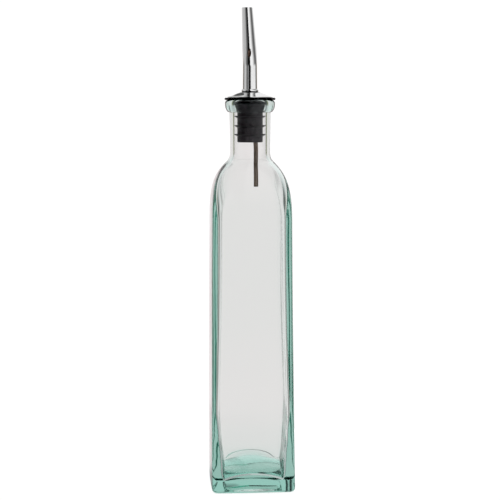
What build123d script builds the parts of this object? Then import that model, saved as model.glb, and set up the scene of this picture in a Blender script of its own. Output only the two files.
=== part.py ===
from build123d import *
from math import cos, radians, sin
import os

# Square glass oil bottle with a lift-out pourer: a ribbed stopper in the neck, a gasket on the lip,
# and a steel dome, crimp ring and bent spout above, with a thin vent tube down the middle.
# Millimetres, +Z up, origin at the centre of the base. The spout bends back, towards +Y.

# Glass body
foot_half_width = 28.85
shoulder_half_width = 27.2
body_corner_radius = 4.8
heel_radius = 3.5
side_bow_angle = 1.5
round_side_angle = 22.5
shoulder_start = 186.0

# Shoulder and neck
neck_base_height = 227.2
neck_base_radius = 13.4
waist_radius = 13.45
waist_height = 231.0
neck_top_radius = 14.0
lip_start = 258.3
lip_radius = 17.15
lip_round_height = 264.4
lip_round = 2.2
lip_top = 266.6
shoulder_rise = 0.58
shoulder_bulge = 0.78
shoulder_sections = 8

# Inside of the glass
wall = 4.2
foot_wall = 5.4
cavity_corner_radius = 3.2
crown_top = 16.9
crown_radius = 60.0
crown_set_back = 4.9
floor_round = 2.5
bore_radius = 10.9
bore_start = 225.0
bore_shoulder_start = 185.0
mouth_round = 0.6
floor_edge = 4.5
punt_half_width = 19.5
punt_corner_radius = 7.0
punt_depth = 3.0
punt_sphere_radius = 136.0

# Gasket and dome
gasket_radius = 17.3
gasket_thickness = 1.6
gasket_round = 0.5
gasket_gap = 0.03
turning_clearance = 0.08
dome_radius = 15.4
dome_height = 3.8
dome_sheet = 0.6
dome_crown_radius = 5.9
dome_rim_slope = (-4.0, 0.9)
dome_crown_slope = (3.0, -0.6)

# Spout
stem_radius = 5.1
stem_bottom = 250.0
bend_tube_radius = 4.95
tip_radius = 3.7
spout_wall = 0.5
bend_start = 288.8
bend_line_radius = 20.0
bend_angle = 25.0
taper_start = 4.0
tip_height = 329.8
spout_heading = 92.4
crimp_height = 2.0
crimp_radius = 5.95
crimp_round = 0.6

# Stopper
stopper_bottom = 238.1
core_radius = 8.75
head_radius = 9.65
head_bottom = 258.5
head_top = 264.2
collar_radius = 8.6
fin_radius = 10.85
fin_inner_radius = 7.75
fin_heights = [242.6, 248.6, 255.0, 263.2]
fin_root = 1.5
fin_tip = 0.4
fin_sweep = 0.8
stopper_mouth_radius = 5.9
stopper_round = 0.6

# Vent tube: it hangs beside the centre line and climbs inside the stem to the wall of the bend
vent_radius = 1.55
vent_bore_radius = 1.25
vent_hang = (4.0, -0.3)
vent_bottom = 207.0
vent_offset = 2.86
vent_lower_turn = 238.0
vent_upper_turn = 262.0
vent_top = 306.0
vent_bend = 60.0
trim_block = 20.0

spout_dir = Vector(cos(radians(spout_heading)), sin(radians(spout_heading)), 0)
spout_side = spout_dir.cross(Vector(0, 0, 1))
seat_height = lip_top + gasket_thickness
dome_top = seat_height + dome_height
crimp_top = dome_top + crimp_height


def square_section(height, half_width, corner_radius):
    """A square with bowed sides and rounded corners, and a circle once the corners are as large."""
    roundness = (corner_radius / half_width) ** 6
    half_side = side_bow_angle + (round_side_angle - side_bow_angle) * roundness
    turn = radians(half_side)
    side_radius = half_width - corner_radius * (cos(turn) - sin(turn))
    side_radius = side_radius / (1 + sin(turn) - cos(turn))
    corner_centre = (side_radius - corner_radius) * sin(turn)
    with BuildSketch(Plane.XY.offset(height)) as section:
        with BuildLine():
            for side in range(4):
                angle = 90 * side
                side_centre = Vector(half_width - side_radius, 0).rotate(Axis.Z, angle)
                CenterArc(side_centre, side_radius, angle - half_side, 2 * half_side)
                corner = Vector(corner_centre, corner_centre).rotate(Axis.Z, angle)
                CenterArc(corner, corner_radius, angle + half_side, 90 - 2 * half_side)
        make_face()
    return section.sketch


def shoulder_profile(half_width, start, end_radius, end_height):
    """The shoulder's outline from the top of the side to the foot of the neck."""
    reach = end_height - start
    with BuildLine() as profile:
        Bezier(
            (half_width, start),
            (half_width, start + shoulder_rise * reach),
            (end_radius + shoulder_bulge * (half_width - end_radius), start + shoulder_bulge * reach),
            (end_radius, end_height),
        )
    return profile.edge()


def shoulder_loft(profile, corner_radius):
    """Sections up the shoulder, whose corners open out until the last one is round."""
    sections = []
    for step in range(shoulder_sections + 1):
        along = step / shoulder_sections
        point = profile @ along
        corner = corner_radius + (point.X - corner_radius) * along**1.5
        sections.append(square_section(point.Y, point.X, corner))
    return sections


outer_shoulder = shoulder_profile(
    shoulder_half_width, shoulder_start, neck_base_radius, neck_base_height
)
inner_shoulder = shoulder_profile(
    shoulder_half_width - wall, bore_shoulder_start, bore_radius, bore_start
)

# The space inside the glass, from the domed floor to the mouth
with BuildPart() as cavity:
    loft(
        [
            square_section(floor_edge, foot_half_width - foot_wall, cavity_corner_radius),
            square_section(bore_shoulder_start, shoulder_half_width - wall, cavity_corner_radius),
        ],
        ruled=True,
    )
    loft(shoulder_loft(inner_shoulder, cavity_corner_radius))
    with BuildSketch(Plane.XY.offset(bore_start)):
        Circle(bore_radius)
    extrude(amount=lip_top - bore_start)
    with BuildSketch(Plane.XY.offset(lip_top - mouth_round)):
        Circle(bore_radius)
    with BuildSketch(Plane.XY.offset(lip_top)):
        Circle(bore_radius + mouth_round)
    loft()
    with Locations((0, crown_set_back, crown_top - crown_radius)):
        Sphere(crown_radius, mode=Mode.SUBTRACT)
    fillet(cavity.faces().sort_by(Axis.Z)[0].edges(), floor_round)

# The punt: a shallow square hollow under the base, with a domed roof
with BuildPart() as punt:
    add(square_section(0, punt_half_width, punt_corner_radius))
    extrude(amount=punt_depth)
    with Locations((0, 0, punt_depth - punt_sphere_radius)):
        Sphere(punt_sphere_radius, mode=Mode.INTERSECT)

# Glass bottle: body, shoulder, neck and lip in one piece
with BuildPart() as glass_bottle:
    loft(
        [
            square_section(0, foot_half_width, body_corner_radius),
            square_section(shoulder_start, shoulder_half_width, body_corner_radius),
        ],
        ruled=True,
    )
    fillet(glass_bottle.faces().sort_by(Axis.Z)[0].edges(), heel_radius)
    loft(shoulder_loft(outer_shoulder, body_corner_radius))
    with BuildSketch(Plane.XZ):
        with BuildLine():
            Line((0, neck_base_height), (neck_base_radius, neck_base_height))
            Spline(
                (neck_base_radius, neck_base_height),
                (waist_radius, waist_height),
                (neck_top_radius, lip_start),
            )
            EllipticalCenterArc(
                (neck_top_radius, lip_round_height),
                lip_radius - neck_top_radius,
                lip_round_height - lip_start,
                start_angle=-90,
                arc_size=90,
            )
            EllipticalCenterArc(
                (lip_radius - lip_round, lip_round_height),
                lip_round,
                lip_top - lip_round_height,
                start_angle=0,
                arc_size=90,
            )
            Line((lip_radius - lip_round, lip_top), (0, lip_top))
            Line((0, lip_top), (0, neck_base_height))
        make_face()
    revolve(axis=Axis.Z)
    add(cavity.part, mode=Mode.SUBTRACT)
    add(punt.part, mode=Mode.SUBTRACT)
glass_bottle.part.label = "glass_bottle"

# Lip gasket: a thin washer, free to turn about the stem
with BuildPart() as lip_gasket:
    with BuildSketch(Plane.XY.offset(lip_top)):
        Circle(gasket_radius)
        Circle(stem_radius + turning_clearance, mode=Mode.SUBTRACT)
    extrude(amount=gasket_thickness)
    fillet(lip_gasket.edges().filter_by(GeomType.CIRCLE).sort_by(SortBy.RADIUS)[-2:], gasket_round)
lip_gasket.part.label = "lip_gasket"

# Stopper: a ribbed plug on the spout's stem
with BuildPart() as stopper:
    with BuildSketch(Plane.XZ):
        with BuildLine():
            Polyline(
                (0, stopper_bottom),
                (core_radius, stopper_bottom),
                (core_radius, head_bottom),
                (head_radius, head_bottom),
                (head_radius, head_top),
                (collar_radius, head_top),
                (collar_radius, lip_top - gasket_gap),
                (0, lip_top - gasket_gap),
                close=True,
            )
        make_face()
        for fin_height in fin_heights:
            with BuildLine():
                Polyline(
                    (fin_inner_radius, fin_height - fin_root / 2),
                    (fin_radius, fin_height + fin_sweep),
                    (fin_radius, fin_height + fin_sweep + fin_tip),
                    (fin_inner_radius, fin_height + fin_root / 2),
                    close=True,
                )
            make_face()
    revolve(axis=Axis.Z)
    with BuildSketch(Plane.XY.offset(stem_bottom)):
        Circle(stem_radius)
    extrude(amount=lip_top - stem_bottom, mode=Mode.SUBTRACT)
    with BuildSketch(Plane.XY.offset(stopper_bottom)):
        Circle(stopper_mouth_radius)
    with BuildSketch(Plane.XY.offset(stem_bottom)):
        Circle(stem_radius)
    loft(mode=Mode.SUBTRACT)
    bottom_rims = stopper.edges().filter_by(GeomType.CIRCLE).group_by(Axis.Z)[0]
    fillet(bottom_rims.sort_by(SortBy.RADIUS)[-1], stopper_round)
stopper.part.label = "stopper"

# Dome: a steel cap over the gasket
with BuildPart() as dome_cap:
    with BuildSketch(Plane.XZ):
        with BuildLine():
            rim = Vector(dome_radius, seat_height + dome_sheet)
            crown = Vector(dome_crown_radius, dome_top)
            Bezier(rim, rim + Vector(dome_rim_slope), crown + Vector(dome_crown_slope), crown)
            Polyline(
                crown,
                (stem_radius, dome_top),
                (stem_radius, seat_height + gasket_gap),
                (dome_radius, seat_height + gasket_gap),
                rim,
            )
        make_face()
    revolve(axis=Axis.Z)
dome_cap.part.label = "dome_cap"

# Crimp ring: the bead that holds the dome down on the stem
with BuildPart() as crimp_ring:
    with BuildSketch(Plane.XY.offset(dome_top)):
        Circle(crimp_radius)
        Circle(stem_radius, mode=Mode.SUBTRACT)
    extrude(amount=crimp_height)
    fillet(crimp_ring.edges().filter_by(GeomType.CIRCLE).sort_by(SortBy.RADIUS)[-2:], crimp_round)
crimp_ring.part.label = "crimp_ring"


def spout_body(inset):
    """Solid of the stem, bend and tapered spout, with its surface moved inwards by inset."""
    bend_centre = Vector(0, 0, bend_start) + spout_dir * bend_line_radius
    bend_axis = Axis(bend_centre, spout_side * -1)
    upward = spout_dir * sin(radians(bend_angle)) + Vector(0, 0, cos(radians(bend_angle)))
    bend_end = bend_centre + spout_side.cross(upward) * bend_line_radius
    taper_length = (tip_height - bend_end.Z) / cos(radians(bend_angle))
    with BuildPart() as body:
        with BuildSketch(Plane.XY.offset(stem_bottom)):
            Circle(stem_radius - inset)
        extrude(amount=crimp_top - stem_bottom)
        with BuildSketch(Plane.XY.offset(crimp_top)):
            Circle(stem_radius - inset)
        with BuildSketch(Plane.XY.offset(bend_start)):
            Circle(bend_tube_radius - inset)
        loft()
        with BuildSketch(Plane.XY.offset(bend_start)):
            Circle(bend_tube_radius - inset)
        revolve(axis=bend_axis, revolution_arc=bend_angle)
        with BuildSketch(Plane(origin=bend_end, x_dir=spout_side, z_dir=upward)):
            Circle(bend_tube_radius - inset)
        extrude(amount=taper_start)
        taper_foot = Plane(origin=bend_end + upward * taper_start, x_dir=spout_side, z_dir=upward)
        with BuildSketch(taper_foot):
            Circle(bend_tube_radius - inset)
        with BuildSketch(taper_foot.offset(taper_length)):
            Circle(tip_radius - inset)
        loft()
        split(bisect_by=Plane.XY.offset(tip_height), keep=Keep.BOTTOM)
    return body.part


vent_upper = spout_dir * -vent_offset
spout_outer = spout_body(0)
spout_inner = spout_body(spout_wall)

# Spout: one steel tube with the vent tube's way out in the front of its bend
with BuildPart() as spout_tube:
    add(spout_outer)
    add(spout_inner, mode=Mode.SUBTRACT)
    with BuildSketch(Plane.XY.offset(bend_start)):
        with Locations((vent_upper.X, vent_upper.Y)):
            Circle(vent_radius)
    extrude(amount=vent_top - bend_start, mode=Mode.SUBTRACT)
spout_tube.part.label = "spout_tube"

# What lies in front of the bend, outside the spout
with BuildPart() as outside_bend:
    with Locations((0, -trim_block / 2, bend_start + trim_block / 2)):
        Box(trim_block, trim_block, trim_block)
    add(spout_outer, mode=Mode.SUBTRACT)

# Vent tube: its top end is ground flush with the outside of the bend
with BuildPart() as vent_tube:
    with BuildLine() as vent_route:
        FilletPolyline(
            (*vent_hang, vent_bottom),
            (*vent_hang, vent_lower_turn),
            (vent_upper.X, vent_upper.Y, vent_upper_turn),
            (vent_upper.X, vent_upper.Y, vent_top),
            radius=vent_bend,
        )
    with BuildSketch(Plane.XY.offset(vent_bottom)):
        with Locations(vent_hang):
            Circle(vent_radius)
            Circle(vent_bore_radius, mode=Mode.SUBTRACT)
    sweep(path=vent_route.line)
    add(outside_bend.part, mode=Mode.SUBTRACT)
vent_tube.part.label = "vent_tube"

os.makedirs("parts", exist_ok=True)
for piece in (glass_bottle, lip_gasket, stopper, dome_cap, crimp_ring, spout_tube, vent_tube):
    export_step(piece.part, f"parts/{piece.part.label}.step")
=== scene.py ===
import math

import bmesh
import bpy
import numpy as np
from mathutils import Matrix, Vector


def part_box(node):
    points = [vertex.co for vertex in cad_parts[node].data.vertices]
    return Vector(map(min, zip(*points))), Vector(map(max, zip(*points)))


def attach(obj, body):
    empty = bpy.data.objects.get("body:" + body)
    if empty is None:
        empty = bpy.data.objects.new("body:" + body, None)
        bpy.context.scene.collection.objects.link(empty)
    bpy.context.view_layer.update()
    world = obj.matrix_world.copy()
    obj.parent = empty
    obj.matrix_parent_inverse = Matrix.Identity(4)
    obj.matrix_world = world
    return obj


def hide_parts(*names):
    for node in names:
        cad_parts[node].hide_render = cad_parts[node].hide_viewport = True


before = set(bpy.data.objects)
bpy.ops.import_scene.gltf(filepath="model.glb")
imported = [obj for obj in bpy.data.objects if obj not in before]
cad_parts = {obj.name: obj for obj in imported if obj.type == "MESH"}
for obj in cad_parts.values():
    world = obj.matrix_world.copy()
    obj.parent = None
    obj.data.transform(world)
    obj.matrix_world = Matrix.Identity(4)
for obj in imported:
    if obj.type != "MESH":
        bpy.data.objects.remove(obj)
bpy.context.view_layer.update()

# A square glass oil bottle with a lift-out steel pourer. Shapes are written in millimetres, as in the
# CAD model, and turned into metres as each mesh is made.

MM = 0.001

GLASS_LOW, GLASS_HIGH = (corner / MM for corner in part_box("glass_bottle"))
GASKET_LOW, GASKET_HIGH = (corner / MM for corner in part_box("lip_gasket"))
STOPPER_LOW, STOPPER_HIGH = (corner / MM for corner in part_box("stopper"))
DOME_LOW, DOME_HIGH = (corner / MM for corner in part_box("dome_cap"))
CRIMP_LOW, CRIMP_HIGH = (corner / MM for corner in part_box("crimp_ring"))
SPOUT_LOW, SPOUT_HIGH = (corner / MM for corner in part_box("spout_tube"))
VENT_LOW, VENT_HIGH = (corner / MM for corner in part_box("vent_tube"))

# Glass body. The shoulder is one curve from SHOULDER_START to NECK_BASE, whose two handles stand at these
# shares of the way, and which eases into the neck after the share NECK_BLEND.
LIP_TOP = GLASS_HIGH.z
FOOT_HALF = 28.85
SHOULDER_HALF = 27.2
SHOULDER_START = 186.0
LOWER_HANDLE = 0.58
UPPER_HANDLE = 0.78
NECK_BASE = 227.2
NECK_BASE_RADIUS = 13.6
NECK_BLEND = 0.92
NECK_FOOT = (13.65, 232.0)
NECK_TOP_RADIUS = 14.1
BODY_CORNER = 4.8
HEEL = 2.4
SIDE_BOW = 1.5
ROUND_SIDE = 22.5
BORE = 10.9
BORE_TOP = 264.0
BORE_FOOT = 233.0
LIP_RADIUS = 17.15
LIP_LEVEL = 264.4
UNDER_LIP = 6.1
LIP_ROUND = 2.2
MOUTH_ROUND = 0.6

# The hollow under the base, and the edge where it turns down to the foot
PUNT_HALF = 19.5
PUNT_CORNER = 7.0
PUNT_DEPTH = 3.0
PUNT_SPHERE = 136.0
PUNT_INSET = 0.7
PUNT_EDGE = 1.2
PUNT_CENTRE = 0.8

# The domed floor inside, whose crown is set back, and the fillet that joins it to the sides
FLOOR_CROWN = 16.9
FLOOR_SPHERE = 60.0
FLOOR_SHIFT = 4.9
FLOOR_LEVEL = 19.0
FLOOR_FILLET = 2.6
FLOOR_CENTRE = 0.04

# The foot stands FOOT_LEAN to one side, which dies away up to LEAN_HEIGHT
FOOT_LEAN = 0.9
LEAN_HEIGHT = 150.0

# Stopper
STOPPER_CORE = 8.75
STOPPER_HEAD = 9.65
STOPPER_FIN = 10.82
STOPPER_COLLAR = 8.6
FIN_HEIGHTS = (242.6, 248.6, 255.0)
HEAD_FIN_HEIGHT = 263.2

# Spout
STEM = 5.1
STEM_HOLE = STEM + 0.02
SPOUT_WALL = 0.5
BEND_TUBE = 4.95
TIP = 3.7
BEND_START = 288.8
BEND_LINE = 20.0
BEND_ANGLE = math.radians(25.0)
TAPER_START = 4.0
HEADING = math.radians(92.4)

# Vent tube. Inside the stem it stands VENT_OFFSET from the axis, away from where the spout points, and it
# and the breather hole are VENT_SHIFT to the left. It crosses to where it hangs between two heights.
VENT_RADIUS = 1.55
VENT_BORE = 1.25
VENT_OFFSET = 2.86
VENT_SHIFT = -0.75
VENT_TOP = 306.0
VENT_HANG = (4.0, -0.3)
VENT_CROSSING = (233.0, 267.0)
BREATHER_RADIUS = 1.25
BREATHER_TOP = 307.0


# ---- camera, floor and light ----------------------------------------------------------------------

CAMERA_DISTANCE = 0.930
CAMERA_HEIGHT = 0.2674
CAMERA_AZIMUTH = math.radians(-4.0)
CAMERA_PITCH = math.radians(6.35)
LENS = 97.776
SENSOR = 36.0


def make_camera():
    data = bpy.data.cameras.new("camera")
    data.sensor_width = SENSOR
    data.lens = LENS
    data.clip_start = 0.01
    data.clip_end = 50.0
    camera = bpy.data.objects.new("camera", data)
    camera.location = (
        CAMERA_DISTANCE * math.sin(CAMERA_AZIMUTH),
        -CAMERA_DISTANCE * math.cos(CAMERA_AZIMUTH),
        CAMERA_HEIGHT,
    )
    camera.rotation_euler = (math.pi / 2 - CAMERA_PITCH, 0, CAMERA_AZIMUTH)
    bpy.context.scene.collection.objects.link(camera)
    bpy.context.scene.camera = camera


def ramp(nodes, links, source, stops):
    """The colour that a ramp with these (position, grey or colour) stops gives at source."""
    node = nodes.new("ShaderNodeValToRGB")
    while len(node.color_ramp.elements) < len(stops):
        node.color_ramp.elements.new(0.5)
    for element, (position, value) in zip(node.color_ramp.elements, stops):
        element.position = position
        colour = value if isinstance(value, tuple) else (value, value, value)
        element.color = (*colour, 1.0)
    links.new(source, node.inputs[0])
    return node.outputs["Color"]


BACKDROP = (0.88, 0.805, 0.81)
OLIVE = (0.27, 0.27, 0.18)

# What reflections and the glass see of the studio, as (degrees clockwise from the backdrop's middle,
# brightness). The rows were typed by hand, guided by scratch ray traces of rows of the photograph and by
# renders laid beside it, so this light suits the photograph's side more than the others.
# At the bottle's level there is a lit backdrop between two dim gaps, soft boxes at both sides and a dark
# slot at the camera.
STUDIO_LEVEL = [
    (-180, 0.02), (-161, 0.02), (-157, 0.36), (-150, 0.34), (-144, 0.14), (-126, 0.16), (-118, 0.55),
    (-84, 0.62), (-75, 0.12), (-59, 0.08), (-53, OLIVE), (-48, OLIVE), (-43, BACKDROP), (43, BACKDROP),
    (48, OLIVE), (53, OLIVE), (59, 0.10), (76, 0.10), (90, 0.85), (118, 0.95), (130, 0.80), (142, 0.95),
    (153, 0.74), (159, 0.97), (164, 0.97), (168, 0.02),
]

# Higher up the backdrop has a narrow dark strip, which gives the dome its dark left side
STUDIO_ABOVE = [
    (-180, 0.01), (-152, 0.01), (-146, 0.08), (-122, 0.12), (-112, 0.45), (-80, 0.50), (-50, 0.60),
    (-28, 0.85), (-16, 0.60), (-13, 0.10), (-6.5, 0.10), (-4.5, 0.90), (30, 0.92), (50, 0.70), (70, 0.16),
    (96, 0.12), (116, 0.50), (140, 0.95), (173, 0.95), (177, 0.02),
]

# The table top, close to the bottle
STUDIO_FLOOR = [
    (-180, 0.50), (-130, 0.46), (-90, 0.40), (-60, 0.42), (-44, 0.62), (-34, BACKDROP), (34, BACKDROP),
    (44, 0.62), (60, 0.42), (90, 0.50), (130, 0.66), (179, 0.52),
]

# The whole studio is turned by this many degrees
STUDIO_TURN = 4.0

# Directions whose rise is above RISE_START go over to STUDIO_ABOVE, at RISE_RATE
RISE_START = 0.04
RISE_RATE = 9.0

# Rays that come through the glass find the dark slot closed, or the bottle would be black from behind
SLOT_EDGE = 155.0
BEHIND = 0.80

# What the camera itself sees behind the bottle
WHITE_STRENGTH = 1.05


def studio_ramp(nodes, links, turn, rows):
    """The studio's colour at a turn, from (degrees, brightness) rows all the way round."""
    shifted = sorted(((degrees + STUDIO_TURN + 180) / 360 % 1.0, value) for degrees, value in rows)
    return ramp(nodes, links, turn, shifted)


def mix_colours(nodes, links, factor, first, second):
    """Goes from the first colour to the second as factor goes from 0 to 1."""
    mix = nodes.new("ShaderNodeMix")
    mix.data_type = "RGBA"
    links.new(factor, mix.inputs["Factor"])
    links.new(first, mix.inputs["A"])
    links.new(second, mix.inputs["B"])
    return mix.outputs["Result"]


def maths(nodes, links, operation, *values, clamp=False):
    """A maths node, whose inputs are numbers or other nodes' outputs."""
    node = nodes.new("ShaderNodeMath")
    node.operation = operation
    node.use_clamp = clamp
    for socket, value in zip(node.inputs, values):
        if isinstance(value, (int, float)):
            socket.default_value = value
        else:
            links.new(value, socket)
    return node.outputs[0]


def turn_of(nodes, links, vector):
    """How far round the bottle a direction or a place is, from 0 at the front, clockwise to 1."""
    split = nodes.new("ShaderNodeSeparateXYZ")
    links.new(vector, split.inputs[0])
    azimuth = maths(nodes, links, "ARCTAN2", split.outputs["X"], split.outputs["Y"])
    return maths(nodes, links, "MULTIPLY_ADD", azimuth, 1 / math.tau, 0.5)


def make_world():
    """White for the camera, and a banded studio, which isn't plain, for what reflects or refracts."""
    world = bpy.data.worlds.new("studio")
    bpy.context.scene.world = world
    world.use_nodes = True
    nodes, links = world.node_tree.nodes, world.node_tree.links
    nodes.clear()
    place = nodes.new("ShaderNodeTexCoord")
    split = nodes.new("ShaderNodeSeparateXYZ")
    links.new(place.outputs["Generated"], split.inputs[0])
    turn = turn_of(nodes, links, place.outputs["Generated"])
    closed = [(at, BEHIND if abs(at) > SLOT_EDGE else value) for at, value in STUDIO_LEVEL]
    ray = nodes.new("ShaderNodeLightPath")
    level = studio_ramp(nodes, links, turn, STUDIO_LEVEL)
    through = studio_ramp(nodes, links, turn, closed)
    around = mix_colours(nodes, links, ray.outputs["Is Transmission Ray"], level, through)
    above = studio_ramp(nodes, links, turn, STUDIO_ABOVE)
    rise_offset = -RISE_RATE * RISE_START
    raised = maths(nodes, links, "MULTIPLY_ADD", split.outputs["Z"], RISE_RATE, rise_offset, clamp=True)
    studio = nodes.new("ShaderNodeBackground")
    links.new(mix_colours(nodes, links, raised, around, above), studio.inputs["Color"])
    plain = nodes.new("ShaderNodeBackground")
    plain.inputs["Strength"].default_value = WHITE_STRENGTH
    plain.inputs["Color"].default_value = (1.0, 1.0, 1.0, 1.0)
    out = nodes.new("ShaderNodeOutputWorld")
    links.new(only_for_camera(nodes, links, plain.outputs[0], studio.outputs[0]), out.inputs["Surface"])


def only_for_camera(nodes, links, seen, lighting):
    """One shader for what the camera sees straight on, and another for every other ray."""
    ray = nodes.new("ShaderNodeLightPath")
    choose = nodes.new("ShaderNodeMixShader")
    links.new(ray.outputs["Is Camera Ray"], choose.inputs[0])
    links.new(lighting, choose.inputs[1])
    links.new(seen, choose.inputs[2])
    return choose.outputs[0]


# The table top, in metres. Its colour for reflections and the glass goes over to the studio's at its edge.
TABLE_RADIUS = 0.16
TABLE_DROP = 0.0002
TABLE_GREY = 0.80
TABLE_GLOW = 0.80
TABLE_FADE = 11.0


def make_floor():
    """A pale round table top that blends into the white around it."""
    mesh = bmesh.new()
    bmesh.ops.create_circle(mesh, cap_ends=True, segments=96, radius=TABLE_RADIUS)
    data = bpy.data.meshes.new("floor")
    mesh.to_mesh(data)
    mesh.free()
    floor = bpy.data.objects.new("floor", data)
    floor.location.z = -TABLE_DROP
    bpy.context.scene.collection.objects.link(floor)
    material = bpy.data.materials.new("floor")
    material.use_nodes = True
    nodes, links = material.node_tree.nodes, material.node_tree.links
    nodes.clear()
    diffuse = nodes.new("ShaderNodeBsdfDiffuse")
    diffuse.inputs["Color"].default_value = (TABLE_GREY, TABLE_GREY, TABLE_GREY, 1.0)
    white = nodes.new("ShaderNodeEmission")
    white.inputs["Strength"].default_value = TABLE_GLOW
    seen = nodes.new("ShaderNodeAddShader")
    links.new(diffuse.outputs[0], seen.inputs[0])
    links.new(white.outputs[0], seen.inputs[1])
    place = nodes.new("ShaderNodeTexCoord")
    turn = turn_of(nodes, links, place.outputs["Object"])
    near = studio_ramp(nodes, links, turn, STUDIO_FLOOR)
    beyond = studio_ramp(nodes, links, turn, STUDIO_LEVEL)
    reach = nodes.new("ShaderNodeVectorMath")
    reach.operation = "LENGTH"
    links.new(place.outputs["Object"], reach.inputs[0])
    fade_offset = 1 - TABLE_FADE * TABLE_RADIUS
    share = maths(
        nodes, links, "MULTIPLY_ADD", reach.outputs["Value"], TABLE_FADE, fade_offset, clamp=True,
    )
    carried_on = nodes.new("ShaderNodeEmission")
    links.new(mix_colours(nodes, links, share, near, beyond), carried_on.inputs["Color"])
    out = nodes.new("ShaderNodeOutputMaterial")
    surface = only_for_camera(nodes, links, seen.outputs[0], carried_on.outputs[0])
    links.new(surface, out.inputs["Surface"])
    data.materials.append(material)


# ---- mesh helpers ---------------------------------------------------------------------------------


def make_object(name, mesh, body, slot, *replaced):
    """Turns a bmesh in millimetres into a smooth-shaded object that rides on a body."""
    bmesh.ops.recalc_face_normals(mesh, faces=mesh.faces)
    data = bpy.data.meshes.new(name)
    mesh.to_mesh(data)
    mesh.free()
    data.transform(Matrix.Scale(MM, 4))
    for polygon in data.polygons:
        polygon.use_smooth = True
    data.set_sharp_from_angle(angle=math.radians(38))
    piece = bpy.data.objects.new(name, data)
    bpy.context.scene.collection.objects.link(piece)
    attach(piece, body)
    if replaced:
        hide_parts(*replaced)
    return piece


def arc(centre, radius, start, end, steps):
    """Points on a circle or, with a pair of radii, on an ellipse, from start to end in degrees."""
    across, up = radius if isinstance(radius, tuple) else (radius, radius)
    angles = np.radians(np.linspace(start, end, steps + 1))
    return [(centre[0] + across * math.cos(a), centre[1] + up * math.sin(a)) for a in angles]


def round_steps(count):
    """Evenly spaced angles all the way round."""
    return np.linspace(0, math.tau, count, endpoint=False)


def ease(share):
    """Eases a share between 0 and 1 at both ends."""
    return share * share * (3 - 2 * share)


def stack_rings(rings, closed_ends=True):
    """Joins rings of equally many points into a surface, with a point at each end where asked."""
    mesh = bmesh.new()
    loops = [[mesh.verts.new(point) for point in ring] for ring in rings]
    count = len(loops[0])
    for low, high in zip(loops, loops[1:]):
        for i in range(count):
            j = (i + 1) % count
            mesh.faces.new((low[i], low[j], high[j], high[i]))
    if closed_ends:
        for loop in (loops[0], loops[-1]):
            mesh.faces.new(loop)
    return mesh


def lathe(profile, segments=128):
    """Revolves a closed profile of (radius, height) points that stays off the axis."""
    mesh = bmesh.new()
    angles = round_steps(segments)
    loops = [
        [mesh.verts.new((radius * math.cos(a), radius * math.sin(a), height)) for a in angles]
        for radius, height in profile
    ]
    for low, high in zip(loops, loops[1:] + loops[:1]):
        for i in range(segments):
            j = (i + 1) % segments
            mesh.faces.new((low[i], low[j], high[j], high[i]))
    return mesh


def smooth_between(value, table):
    """Reads a smooth curve through a short table of (place, amount) rows."""
    places, amounts = zip(*table)
    if value <= places[0]:
        return amounts[0]
    if value >= places[-1]:
        return amounts[-1]
    i = max(k for k in range(len(places) - 1) if places[k] <= value)
    share = ease((value - places[i]) / (places[i + 1] - places[i]))
    return amounts[i] + (amounts[i + 1] - amounts[i]) * share


# ---- glass bottle ---------------------------------------------------------------------------------

SIDE_STEPS = 18
CORNER_STEPS = 22
OUTER_LEVELS = 150
INNER_LEVELS = 150
BLEND_STEPS = 12
SHOULDER_STEPS = 44
PUNT_LEVELS = 22
PUNT_EDGE_LEVELS = 7
HEEL_LEVELS = 10
BORE_LEVELS = 12
FILLET_LEVELS = 9
FLOOR_LEVELS = 18

# (height, wall thickness at mid-side) and (height, inner corner radius) up the body, typed by hand and
# adjusted by renders laid beside the photograph
INNER_WALL = [(8, 7.0), (24, 5.6), (38, 4.4), (56, 3.5), (84, 3.8), (120, 4.2), (150, 4.3), (190, 4.2)]
INNER_CORNER = [(8, 3.4), (24, 2.8), (45, 2.3), (72, 2.3), (100, 2.7), (140, 3.0), (190, 3.4)]


def section(half, corner):
    """Corner and side arcs of a square with bowed sides, which is a circle once corner equals half."""
    half_side = SIDE_BOW + (ROUND_SIDE - SIDE_BOW) * (corner / half) ** 6
    turn = math.radians(half_side)
    side = (half - corner * (math.cos(turn) - math.sin(turn))) / (1 + math.sin(turn) - math.cos(turn))
    centre = (side - corner) * math.sin(turn)
    quarter = [(half - side + side * math.cos(a), side * math.sin(a))
               for a in np.linspace(-turn, turn, SIDE_STEPS, endpoint=False)]
    quarter += [(centre + corner * math.cos(a), centre + corner * math.sin(a))
                for a in np.linspace(turn, math.pi / 2 - turn, CORNER_STEPS, endpoint=False)]
    points = np.array(quarter)
    turned = [points]
    for _ in range(3):
        points = np.column_stack((-points[:, 1], points[:, 0]))
        turned.append(points)
    return np.vstack(turned)


def ring_at(half, corner, height):
    """A ring of the bottle, level at a height, or following a surface where height is a function."""
    flat = section(half, corner)
    if callable(height):
        levels = [height(x, y) for x, y in flat]
    else:
        levels = [height] * len(flat)
    return np.column_stack((flat, levels))


def bezier(points, t):
    """A point on a cubic curve, where t goes from 0 to 1."""
    a, b, c, d = (np.array(p, float) for p in points)
    return (1 - t) ** 3 * a + 3 * (1 - t) ** 2 * t * b + 3 * (1 - t) * t * t * c + t ** 3 * d


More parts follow.
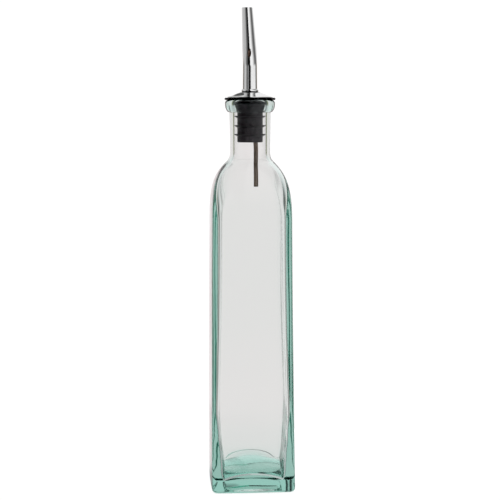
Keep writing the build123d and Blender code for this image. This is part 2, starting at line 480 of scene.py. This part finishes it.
def shoulder_outline():
    """The outside of the shoulder as (half width, height, share of the way) rows, up to the neck."""
    reach = NECK_BASE - SHOULDER_START
    curve = [
        (SHOULDER_HALF, SHOULDER_START),
        (SHOULDER_HALF, SHOULDER_START + LOWER_HANDLE * reach),
        (
            NECK_BASE_RADIUS + UPPER_HANDLE * (SHOULDER_HALF - NECK_BASE_RADIUS),
            SHOULDER_START + UPPER_HANDLE * reach,
        ),
        (NECK_BASE_RADIUS, NECK_BASE),
    ]
    rows = [(*bezier(curve, t), t) for t in np.linspace(0, NECK_BLEND, SHOULDER_STEPS + 1)]
    last = np.array(rows[-1][:2])
    for t in np.linspace(0, 1, BLEND_STEPS + 1)[1:]:
        here = (1 - t) ** 2 * last + 2 * (1 - t) * t * np.array(curve[-1]) + t * t * np.array(NECK_FOOT)
        rows.append((*here, NECK_BLEND + (1 - NECK_BLEND) * t))
    return rows


def shoulder_rings(corner, wall=0.0):
    """Rings up the shoulder, whose corners open out until it rounds over into the round neck. The wall
    is measured square to the outside, and tapers to the neck's."""
    rows = shoulder_outline()
    rings = []
    for i, (across, height, share) in enumerate(rows):
        before, after = rows[max(0, i - 1)], rows[min(len(rows) - 1, i + 1)]
        run, rise = after[0] - before[0], after[1] - before[1]
        size = math.hypot(run, rise)
        thickness = 0.0
        if wall:
            thickness = wall + (NECK_FOOT[0] - BORE - wall) * ease(share)
        half = across - thickness * rise / size
        level = height + thickness * run / size
        rings.append(ring_at(half, corner + (half - corner) * share ** 1.5, level))
    return rings


def outer_half(height):
    return FOOT_HALF + (SHOULDER_HALF - FOOT_HALF) * height / SHOULDER_START


def dome(x, y, crown, sphere):
    """The height of a spherical surface whose crown is on the axis."""
    return crown - sphere + math.sqrt(sphere ** 2 - math.hypot(x, y) ** 2)


def punt(x, y):
    return dome(x, y, PUNT_DEPTH, PUNT_SPHERE)


def cavity_floor(x, y):
    """The dome inside, whose crown is set back, so the floor stands higher at the rear."""
    return dome(x, y - FLOOR_SHIFT, FLOOR_CROWN, FLOOR_SPHERE)


def outer_rings():
    """From the middle of the punt outwards, round the heel, up the sides and neck, to the top of the lip."""
    rings = []
    hollow = PUNT_HALF - PUNT_INSET
    for half in np.linspace(PUNT_CENTRE, hollow, PUNT_LEVELS):
        share = half / PUNT_HALF
        rings.append(ring_at(half, half + (PUNT_CORNER - PUNT_HALF) * share ** 6, punt))
    for turn in np.radians(np.linspace(0, 90, PUNT_EDGE_LEVELS)):
        half = hollow + PUNT_EDGE * math.sin(turn)
        drop = 1 - math.cos(turn)
        rings.append(ring_at(half, PUNT_CORNER, lambda x, y: punt(x, y) * (1 - drop)))
    for angle in np.radians(np.linspace(0, 90, HEEL_LEVELS)):
        inset = HEEL * (1 - math.sin(angle))
        height = HEEL * (1 - math.cos(angle))
        rings.append(ring_at(outer_half(height) - inset, BODY_CORNER - inset, height))
    for height in np.linspace(HEEL, SHOULDER_START, OUTER_LEVELS)[1:-1]:
        rings.append(ring_at(outer_half(height), BODY_CORNER, height))
    rings += shoulder_rings(BODY_CORNER)
    for radius, height in neck_outline():
        rings.append(ring_at(radius, radius, height))
    return rings


def neck_outline():
    """From just above the shoulder up the waisted neck and round the lip to the top of the mouth."""
    neck = [(13.67, 234.0), (13.7, 237.0), (13.78, 242.0), (13.9, 249.0), (14.05, 256.0)]
    under_lip = arc((NECK_TOP_RADIUS, LIP_LEVEL), (LIP_RADIUS - NECK_TOP_RADIUS, UNDER_LIP), -90, 0, 14)
    over_lip = arc((LIP_RADIUS - LIP_ROUND, LIP_LEVEL), (LIP_ROUND, LIP_TOP - LIP_LEVEL), 0, 90, 10)[1:]
    top = [(13.2, LIP_TOP), (11.6, LIP_TOP)]
    mouth = arc((BORE + MOUTH_ROUND, LIP_TOP - MOUTH_ROUND), MOUTH_ROUND, 90, 180, 6)
    return neck + under_lip + over_lip + top + mouth


def inner_size(height):
    """Half width and corner radius of the inside at a height on the body."""
    half = outer_half(height) - smooth_between(height, INNER_WALL)
    return half, smooth_between(height, INNER_CORNER)


def inner_rings():
    """From the mouth down the bore and the inside of the shoulder and sides to the domed floor."""
    rings = [ring_at(BORE, BORE, height) for height in np.linspace(BORE_TOP, BORE_FOOT, BORE_LEVELS)]
    top_wall = smooth_between(SHOULDER_START, INNER_WALL)
    top_corner = smooth_between(SHOULDER_START, INNER_CORNER)
    rings += shoulder_rings(top_corner, top_wall)[::-1]
    for height in np.linspace(SHOULDER_START, FLOOR_LEVEL, INNER_LEVELS)[1:]:
        rings.append(ring_at(*inner_size(height), height))
    half, corner = inner_size(FLOOR_LEVEL)
    for angle in np.radians(np.linspace(0, 90, FILLET_LEVELS))[1:]:
        inset = FLOOR_FILLET * (1 - math.cos(angle))
        drop = math.sin(angle)
        rings.append(ring_at(
            half - inset, corner - inset,
            lambda x, y: FLOOR_LEVEL + (cavity_floor(x, y) - FLOOR_LEVEL) * drop,
        ))
    edge = half - FLOOR_FILLET
    edge_corner = corner - FLOOR_FILLET
    for share in np.linspace(1, FLOOR_CENTRE, FLOOR_LEVELS)[1:]:
        reach = edge * share
        rounded = reach if share < 0.5 else edge_corner + (reach - edge_corner) * (2 - 2 * share)
        rings.append(ring_at(reach, min(rounded, reach), cavity_floor))
    return rings


def lean(height):
    """How far the foot has settled to one side as the glass cooled."""
    return FOOT_LEAN * max(0.0, 1 - height / LEAN_HEIGHT) ** 1.5


def make_glass():
    rings = [[(x + lean(z), y, z) for x, y, z in ring] for ring in outer_rings() + inner_rings()]
    piece = make_object("glass_bottle_clear", stack_rings(rings), "bottle", "green_glass", "glass_bottle")
    piece.data.materials.append(glass_material())
    return piece


# ---- pourer ---------------------------------------------------------------------------------------


def heading_vector():
    return Vector((math.cos(HEADING), math.sin(HEADING), 0))


def make_stopper():
    low, high = STOPPER_LOW.z, STOPPER_HIGH.z
    outline = arc((STOPPER_CORE - 0.6, low + 0.6), 0.6, -90, 0, 5)
    for fin_height in FIN_HEIGHTS:
        outline += fin_outline(STOPPER_CORE, STOPPER_FIN, fin_height)
    outline += [(STOPPER_CORE, 258.3)] + arc((STOPPER_HEAD - 0.35, 258.85), 0.35, -90, 0, 4)
    outline += fin_outline(STOPPER_HEAD, STOPPER_FIN, HEAD_FIN_HEIGHT)
    outline += [(STOPPER_HEAD, 264.4), (STOPPER_COLLAR, 264.6), (STOPPER_COLLAR, high)]
    outline += [(STEM_HOLE, high), (STEM_HOLE, 250.0), (5.9, low + 0.4)]
    piece = make_object("ribbed_stopper", lathe(outline), "pourer", "black_rubber", "stopper")
    piece.data.materials.append(rubber_material("stopper_rubber", 0.068))
    return piece


def fin_outline(root, tip, height):
    """One thin fin that sweeps up towards its rounded edge."""
    return [
        (root, height - 0.62),
        (root + 0.25, height - 0.35),
        (tip - 0.25, height + 0.66),
        (tip - 0.04, height + 0.82),
        (tip, height + 0.97),
        (tip - 0.08, height + 1.12),
        (tip - 0.3, height + 1.12),
        (root + 0.3, height + 0.42),
        (root, height + 0.62),
    ]


def make_gasket():
    low, high = GASKET_LOW.z, GASKET_HIGH.z
    rim = 0.5
    outer = GASKET_HIGH.x
    hole = STEM + 0.08
    outline = arc((outer - rim, low + rim), rim, -90, 0, 5) + arc((outer - rim, high - rim), rim, 0, 90, 5)
    outline += [(hole, high), (hole, low)]
    piece = make_object("gasket_washer", lathe(outline), "gasket", "gasket_black", "lip_gasket")
    piece.data.materials.append(rubber_material("gasket_rubber", 0.004))
    return piece


def make_dome():
    low, high = DOME_LOW.z, DOME_HIGH.z
    rim = DOME_HIGH.x
    crown = 5.9
    slope = [bezier([(rim, low + 0.6), (rim - 4.0, low + 1.5), (crown + 3.0, high - 0.6), (crown, high)], t)
             for t in np.linspace(0.04, 1, 24)]
    outline = arc((rim - 0.3, low + 0.3), 0.3, -90, 60, 6) + [tuple(p) for p in slope]
    outline += [(STEM_HOLE, high), (STEM_HOLE, low)]
    piece = make_object("chrome_dome", lathe(outline, 160), "pourer", "chrome", "dome_cap")
    # The crown's top edge gets a thin band of painted shade, where the bead sits on it
    piece.data.materials.append(chrome_material("dome_chrome", 0.05, (DOME_HIGH.z - 0.5, DOME_HIGH.z + 0.5)))
    return piece


def make_crimp():
    low, high = CRIMP_LOW.z, CRIMP_HIGH.z
    outer = CRIMP_HIGH.x
    bead = (high - low) / 2
    across = bead * 0.8
    outline = [(STEM_HOLE, low)] + arc((outer - across, (low + high) / 2), (across, bead), -90, 90, 14)
    outline += [(STEM_HOLE, high)]
    piece = make_object("chrome_bead", lathe(outline, 96), "pourer", "chrome", "crimp_ring")
    # The bead's lower edge gets a thin band of painted shade, where it sits on the dome
    piece.data.materials.append(chrome_material("bead_chrome", 0.09, (CRIMP_LOW.z - 0.6, CRIMP_LOW.z + 0.6)))
    return piece


def spout_line():
    """Centre line of the spout as (point, direction, tube radius) rows, from the stem's foot past its tip."""
    ahead = heading_vector()
    up = Vector((0, 0, 1))
    rows = []
    for height in np.linspace(SPOUT_LOW.z, CRIMP_HIGH.z, 6):
        rows.append((up * height, up, STEM))
    for height in np.linspace(CRIMP_HIGH.z, BEND_START, 10)[1:]:
        share = (height - CRIMP_HIGH.z) / (BEND_START - CRIMP_HIGH.z)
        rows.append((up * height, up, STEM + (BEND_TUBE - STEM) * share))
    centre = up * BEND_START + ahead * BEND_LINE
    for angle in np.linspace(0, BEND_ANGLE, 15)[1:]:
        point = centre - ahead * BEND_LINE * math.cos(angle) + up * BEND_LINE * math.sin(angle)
        rows.append((point, up * math.cos(angle) + ahead * math.sin(angle), BEND_TUBE))
    end, direction, _ = rows[-1]
    length = (SPOUT_HIGH.z - end.z) / direction.z
    for run in np.linspace(0, TAPER_START + length, 34)[1:]:
        past = max(0.0, run - TAPER_START)
        rows.append((end + direction * run, direction, BEND_TUBE + (TIP - BEND_TUBE) * past / length))
    return rows


def tube_rings(rows, inset, segments):
    """Rings round the spout's centre line, inset from its outside."""
    ahead = heading_vector()
    side = ahead.cross(Vector((0, 0, 1)))
    rings = []
    for point, direction, radius in rows:
        front = side.cross(direction)
        ring = []
        for a in round_steps(segments):
            ring.append(point + (side * math.cos(a) + front * math.sin(a)) * (radius - inset))
        rings.append(ring)
    return rings


def cut_tube(rings, height):
    """An open tube, cut off level at height."""
    mesh = stack_rings(rings, closed_ends=False)
    everything = mesh.verts[:] + mesh.edges[:] + mesh.faces[:]
    level = {"plane_co": (0, 0, height), "plane_no": (0, 0, 1)}
    bmesh.ops.bisect_plane(mesh, geom=everything, clear_outer=True, **level)
    return mesh


def join_rims(mesh):
    """Closes the gaps between an outer and an inner tube at both ends."""
    rims = [edge for edge in mesh.edges if edge.is_boundary]
    low = min(v.co.z for edge in rims for v in edge.verts)
    middle = low + 1.0
    bottom = [edge for edge in rims if edge.verts[0].co.z < middle]
    top = [edge for edge in rims if edge.verts[0].co.z >= middle]
    bmesh.ops.bridge_loops(mesh, edges=bottom)
    bmesh.ops.bridge_loops(mesh, edges=top)


def cut_with(mesh, cutter):
    """Cuts one mesh out of another and returns what is left as a new bmesh."""
    pair = []
    for part in (mesh, cutter):
        bmesh.ops.recalc_face_normals(part, faces=part.faces)
        data = bpy.data.meshes.new("cutting")
        part.to_mesh(data)
        part.free()
        item = bpy.data.objects.new("cutting", data)
        bpy.context.scene.collection.objects.link(item)
        pair.append(item)
    boolean = pair[0].modifiers.new("cut", "BOOLEAN")
    boolean.operation = "DIFFERENCE"
    boolean.solver = "EXACT"
    boolean.object = pair[1]
    bpy.context.view_layer.update()
    graph = bpy.context.evaluated_depsgraph_get()
    result = bpy.data.meshes.new_from_object(pair[0].evaluated_get(graph))
    left = bmesh.new()
    left.from_mesh(result)
    bpy.data.meshes.remove(result)
    for item in pair:
        data = item.data
        bpy.data.objects.remove(item)
        bpy.data.meshes.remove(data)
    return left


def vent_axis():
    """Where the vent tube stands inside the stem."""
    return heading_vector() * -VENT_OFFSET + Vector((VENT_SHIFT, 0, 0))


def make_spout():
    rows = spout_line()
    outer = cut_tube(tube_rings(rows, 0.0, 96), SPOUT_HIGH.z)
    inner = cut_tube(tube_rings(rows, SPOUT_WALL, 96), SPOUT_HIGH.z)
    data = bpy.data.meshes.new("inner_wall")
    inner.to_mesh(data)
    inner.free()
    outer.from_mesh(data)
    bpy.data.meshes.remove(data)
    join_rims(outer)
    foot = vent_axis()
    drill = [[(foot.x + BREATHER_RADIUS * math.cos(a), foot.y + BREATHER_RADIUS * math.sin(a), height)
              for a in round_steps(40)] for height in (BEND_START, BREATHER_TOP)]
    tube = cut_with(outer, stack_rings(drill))
    piece = make_object("chrome_spout", tube, "pourer", "chrome", "spout_tube")
    piece.data.materials.append(chrome_material("spout_chrome", 0.06))
    return piece


def vent_line():
    """Centre line of the vent tube: straight down beside the axis, and up inside the stem to the bend."""
    hang = Vector((*VENT_HANG, 0))
    upper = vent_axis()
    low, high = VENT_CROSSING
    rows = []
    for height in np.linspace(VENT_LOW.z, VENT_TOP, 90):
        share = ease(min(1.0, max(0.0, (height - low) / (high - low))))
        point = hang + (upper - hang) * share
        rows.append(Vector((point.x, point.y, height)))
    return rows


def make_vent():
    points = vent_line()
    outer, inner = [], []
    for before, point, after in zip(points[:1] + points, points, points[1:] + points[-1:]):
        direction = (after - before).normalized()
        side = direction.cross(Vector((0, 1, 0))).normalized()
        front = direction.cross(side)
        turns = [side * math.cos(a) + front * math.sin(a) for a in round_steps(32)]
        outer.append([point + turn * VENT_RADIUS for turn in turns])
        inner.append([point + turn * VENT_BORE for turn in turns])
    tube = cut_with(close_round(outer + inner[::-1]), outside_bend())
    piece = make_object("vent_pipe", tube, "pourer", "brown_tube", "vent_tube")
    piece.data.materials.append(tube_material())
    return piece


def close_round(rings):
    """Joins rings into a surface that closes on itself, the last ring to the first."""
    mesh = stack_rings(rings + rings[:1], closed_ends=False)
    bmesh.ops.remove_doubles(mesh, verts=mesh.verts, dist=1e-5)
    return mesh


def outside_bend():
    """A block in front of the bend with the spout cut out of it, to trim the vent tube inside its wall."""
    rows = spout_line()
    solid = stack_rings(tube_rings(rows, SPOUT_WALL, 96))
    block = bmesh.new()
    bmesh.ops.create_cube(block, size=1.0)
    bmesh.ops.scale(block, vec=(24, 24, 20), verts=block.verts)
    bmesh.ops.translate(block, vec=(0, -12, BEND_START + 10), verts=block.verts)
    return cut_with(block, solid)


# ---- materials ------------------------------------------------------------------------------------


def new_material(name):
    material = bpy.data.materials.new(name)
    material.use_nodes = True
    tree = material.node_tree
    return material, tree.nodes, tree.links, tree.nodes["Principled BSDF"]


def noise(nodes, links, scale, detail=2.0, stretch=None):
    """Noise in the object's own space, in which one unit is a metre, as a node's output."""
    place = nodes.new("ShaderNodeTexCoord")
    texture = nodes.new("ShaderNodeTexNoise")
    texture.inputs["Scale"].default_value = scale
    texture.inputs["Detail"].default_value = detail
    if stretch:
        mapping = nodes.new("ShaderNodeMapping")
        mapping.inputs["Scale"].default_value = stretch
        links.new(place.outputs["Object"], mapping.inputs["Vector"])
        links.new(mapping.outputs["Vector"], texture.inputs["Vector"])
    else:
        links.new(place.outputs["Object"], texture.inputs["Vector"])
    return texture.outputs["Fac"]


def bump(nodes, links, shader, source, distance, strength=1.0):
    node = nodes.new("ShaderNodeBump")
    node.inputs["Distance"].default_value = distance
    node.inputs["Strength"].default_value = strength
    links.new(source, node.inputs["Height"])
    links.new(node.outputs["Normal"], shader.inputs["Normal"])


GLASS_ABSORPTION = (18.5, 8.0, 10.3)


def glass_material():
    """Clear recycled glass: green where it is thick, by absorption, with slight waves in its surface. Its
    reflections are weaker than real glass's, as they are in the photograph."""
    material, nodes, links, shader = new_material("green_glass_clear")
    shader.inputs["Base Color"].default_value = (1.0, 1.0, 1.0, 1.0)
    shader.inputs["Roughness"].default_value = 0.0
    shader.inputs["IOR"].default_value = 1.5
    shader.inputs["Transmission Weight"].default_value = 1.0
    shader.inputs["Specular Tint"].default_value = (0.25, 0.25, 0.25, 1.0)
    waves = noise(nodes, links, 55.0, 0.0, (1.0, 1.0, 0.30))
    bump(nodes, links, shader, waves, 0.0006)
    density = max(GLASS_ABSORPTION) * 1.1
    volume = nodes.new("ShaderNodeVolumeAbsorption")
    volume.inputs["Density"].default_value = density
    volume.inputs["Color"].default_value = (*(1 - a / density for a in GLASS_ABSORPTION), 1.0)
    links.new(volume.outputs["Volume"], nodes["Material Output"].inputs["Volume"])
    return material


def chrome_material(name, roughness, shade_band=None):
    """Bright chrome with a faint haze, fine rub marks along the tube and a few soft smudges. Its last
    argument, where given, is a (lowest, highest) height in millimetres between which painted shade darkens
    the base colour."""
    material, nodes, links, shader = new_material(name)
    shader.inputs["Base Color"].default_value = (0.93, 0.93, 0.93, 1.0)
    shader.inputs["Metallic"].default_value = 1.0
    if shade_band:
        place = nodes.new("ShaderNodeTexCoord")
        split = nodes.new("ShaderNodeSeparateXYZ")
        links.new(place.outputs["Object"], split.inputs[0])
        low, high = shade_band
        middle, reach = (low + high) / 2 * MM, (high - low) / 2 * MM
        away = maths(nodes, links, "SUBTRACT", split.outputs["Z"], middle)
        away = maths(nodes, links, "ABSOLUTE", away)
        share = maths(nodes, links, "DIVIDE", away, reach, clamp=True)
        # Painted shade: the base colour goes nearly black in a thin band, standing in for the shadowed gap
        # where the bead meets the dome
        painted_shade = ramp(nodes, links, share, [(0.55, 0.03), (1.0, 0.93)])
        links.new(painted_shade, shader.inputs["Base Color"])
    smudges = noise(nodes, links, 140.0, 4.0)
    haze = ramp(nodes, links, smudges, [(0.42, roughness), (0.72, roughness + 0.12)])
    links.new(haze, shader.inputs["Roughness"])
    marks = noise(nodes, links, 900.0, 3.0, (1.0, 1.0, 0.08))
    bump(nodes, links, shader, marks, 0.00002, 0.4)
    return material


def rubber_material(name, shade):
    """Black moulded rubber: satin, finely grained, a little greyer where it has been rubbed."""
    material, nodes, links, shader = new_material(name)
    wear = noise(nodes, links, 300.0, 5.0)
    black = (shade * 1.05, shade * 0.92, shade)
    rubbed = (shade * 1.7, shade * 1.45, shade * 1.6)
    links.new(ramp(nodes, links, wear, [(0.35, black), (0.8, rubbed)]), shader.inputs["Base Color"])
    links.new(ramp(nodes, links, wear, [(0.3, 0.36), (0.8, 0.6)]), shader.inputs["Roughness"])
    shader.inputs["Specular IOR Level"].default_value = 0.12
    grain = noise(nodes, links, 2500.0, 2.0)
    bump(nodes, links, shader, grain, 0.00003, 0.5)
    return material


def tube_material():
    """Dark brown small-bore tube, smooth, with slight mottling along its length."""
    material, nodes, links, shader = new_material("brown_vent")
    mottle = noise(nodes, links, 500.0, 3.0, (1.0, 1.0, 0.2))
    dark, light = (0.170, 0.110, 0.085), (0.270, 0.180, 0.140)
    links.new(ramp(nodes, links, mottle, [(0.3, dark), (0.75, light)]), shader.inputs["Base Color"])
    links.new(ramp(nodes, links, mottle, [(0.3, 0.28), (0.8, 0.45)]), shader.inputs["Roughness"])
    return material


# ---- the scene ------------------------------------------------------------------------------------

make_camera()
make_world()
make_floor()
make_glass()
make_stopper()
make_gasket()
make_dome()
make_crimp()
make_spout()
make_vent()

# The photograph's blacks are a little deeper than a plain render's
BLACK_LEVEL = 0.012

view = bpy.context.scene.view_settings
view.view_transform = "Standard"
view.use_curve_mapping = True
view.curve_mapping.black_level = (BLACK_LEVEL, BLACK_LEVEL, BLACK_LEVEL)
view.curve_mapping.update()
bpy.context.scene.cycles.max_bounces = 24
bpy.context.scene.cycles.transmission_bounces = 24
bpy.context.scene.cycles.glossy_bounces = 12
